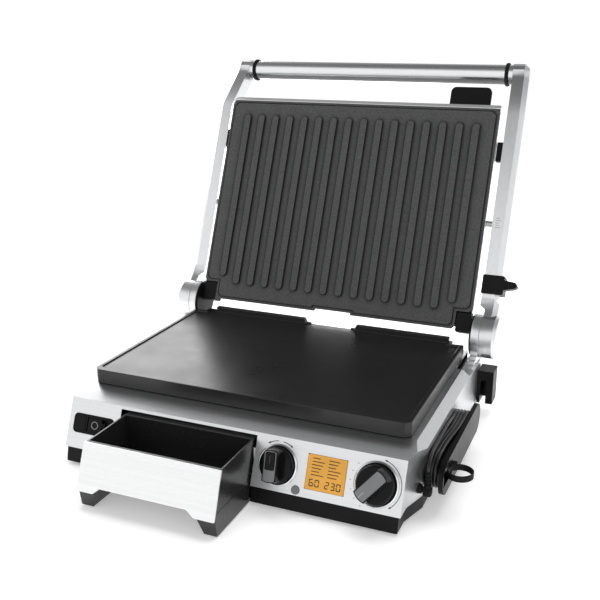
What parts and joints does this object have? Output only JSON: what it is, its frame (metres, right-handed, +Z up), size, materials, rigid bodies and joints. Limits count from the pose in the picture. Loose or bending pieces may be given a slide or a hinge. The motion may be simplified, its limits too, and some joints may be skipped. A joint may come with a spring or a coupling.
{
  "type": "panini press",
  "caption": "Countertop contact grill: flat lower plate, ribbed floating lid plate on two arms, dials, display, pull-out drip tray and stored food probe.",
  "frame": {"origin": "on the counter, under the middle of the whole object's box with the lid open and the drip tray pulled out", "axes": "+X to the right of someone facing the controls, +Y to the rear, +Z up"},
  "size_m": [0.4765, 0.5858, 0.4236],
  "materials": {
    "brushed_panel": "brushed stainless",
    "satin_deck": "satin stainless",
    "cast_arm": "cast and brushed",
    "bright_steel": "fine brushed, bright",
    "inner_steel": "plain mill finish",
    "nonstick_lower": "cast, black non-stick coating",
    "nonstick_upper": "cast, dark grey non-stick coating",
    "black_plastic": "fine moulded texture",
    "gloss_black": "gloss",
    "grey_plastic": "satin",
    "rubber": "matte",
    "lcd_amber": "lit amber display window",
    "circuit_board": "solder mask"
  },
  "bodies": {
    "base": {"base_housing": "satin_deck", "base_pan": "black_plastic", "foot_1": "rubber", "foot_2": "rubber", "foot_3": "rubber", "foot_4": "rubber", "hinge_bracket_left": "cast_arm", "hinge_bracket_right": "cast_arm", "hinge_pin_left": "inner_steel", "hinge_pin_right": "inner_steel", "hinge_inner_cover_left": "black_plastic", "hinge_inner_cover_right": "black_plastic", "cord_hook_left": "black_plastic", "cord_hook_right": "black_plastic", "mains_gland": "rubber", "element_tray": "inner_steel", "lower_element": "inner_steel", "bezel_ring_left": "bright_steel", "bezel_ring_right": "bright_steel", "encoder_left": "inner_steel", "encoder_right": "inner_steel", "display_window": "lcd_amber", "display_module": "black_plastic", "control_board": "circuit_board", "release_escutcheon": "black_plastic", "release_label_pad": "black_plastic", "release_spring": "inner_steel", "probe_port": "black_plastic", "probe_spool": "black_plastic", "probe_connector": "rubber", "probe_cord_lead": "rubber", "probe_cord_hank": "rubber", "probe_handle": "rubber", "probe_spike": "inner_steel"},
    "drip_tray": {"drip_tray": "black_plastic", "drip_tray_front": "brushed_panel"},
    "lower_plate": {"lower_plate": "nonstick_lower"},
    "food_dial": {"food_dial": "gloss_black"},
    "food_button": {"food_dial_button": "gloss_black"},
    "temp_dial": {"temp_dial": "gloss_black"},
    "round_button": {"round_button": "grey_plastic"},
    "plate_release": {"release_slider": "gloss_black", "release_latch": "inner_steel"},
    "lid_arms": {"arm_left": "cast_arm", "arm_right": "cast_arm", "handle_tube": "bright_steel", "handle_ring_left": "rubber", "handle_ring_right": "rubber", "pivot_pin_left": "inner_steel", "pivot_pin_right": "inner_steel"},
    "height_clip": {"height_clip": "black_plastic"},
    "lid_housing": {"lid_housing": "brushed_panel", "side_bumper_left": "rubber", "side_bumper_right": "rubber", "corner_block_left": "black_plastic", "corner_block_right": "black_plastic", "lid_heat_shield": "inner_steel", "lid_element": "inner_steel"},
    "lid_lever": {"lid_release_lever": "black_plastic"},
    "lid_plate": {"lid_plate": "nonstick_upper"}
  },
  "joints": [
    {"name": "lid_hinge", "type": "hinge", "parent": "base", "child": "lid_arms", "pos_m": [0, 0.1074, 0.098], "axis": [1, 0, 0], "range_deg": [-66.8, 104.9]},
    {"name": "lid_tilt", "type": "hinge", "parent": "lid_arms", "child": "lid_housing", "pos_m": [0, 0.16862, 0.22808], "axis": [1, 0, 0], "range_deg": [-5.4, 8.4]},
    {"name": "lid_plate_lift", "type": "slide", "parent": "lid_housing", "child": "lid_plate", "axis": [0, 0.9191, -0.3939], "range_m": [-0.06, 0]},
    {"name": "lid_lever_press", "type": "hinge", "parent": "lid_housing", "child": "lid_lever", "pos_m": [0.136, 0.22711, 0.3488], "axis": [-1, 0, 0], "range_deg": [0, 10], "stiffness_Nm_per_rad": 0.5, "springref_deg": -8.59},
    {"name": "height_clip_slide", "type": "slide", "parent": "lid_arms", "child": "height_clip", "axis": [0, 0.3939, 0.9191], "range_m": [0, 0.056]},
    {"name": "lower_plate_lift", "type": "slide", "parent": "base", "child": "lower_plate", "axis": [0, 0, -1], "range_m": [-0.06, 0]},
    {"name": "drip_tray_slide", "type": "slide", "parent": "base", "child": "drip_tray", "axis": [0, 1, 0], "range_m": [-0.06, 0.077]},
    {"name": "food_dial_turn", "type": "hinge", "parent": "base", "child": "food_dial", "pos_m": [0.055, -0.20759, 0.04454], "axis": [0, -0.9259, 0.3778], "continuous": true},
    {"name": "food_button_press", "type": "slide", "parent": "food_dial", "child": "food_button", "axis": [0, 0.9259, -0.3778], "range_m": [0, 0.0015], "stiffness_N_per_m": 600, "springref_m": -0.001},
    {"name": "temp_dial_turn", "type": "hinge", "parent": "base", "child": "temp_dial", "pos_m": [0.1595, -0.2074, 0.045], "axis": [0, -0.9259, 0.3778], "range_deg": [0, 230]},
    {"name": "round_button_press", "type": "slide", "parent": "base", "child": "round_button", "axis": [0, 0.9259, -0.3778], "range_m": [0, 0.0012], "stiffness_N_per_m": 600, "springref_m": -0.001},
    {"name": "plate_release_slide", "type": "slide", "parent": "base", "child": "plate_release", "axis": [1, 0, 0], "range_m": [0, 0.01], "stiffness_N_per_m": 300, "springref_m": -0.004}
  ],
  "couplings": [
    {"joint": "lid_tilt", "follows": "lid_hinge", "ratio": 0.078646}
  ]
}
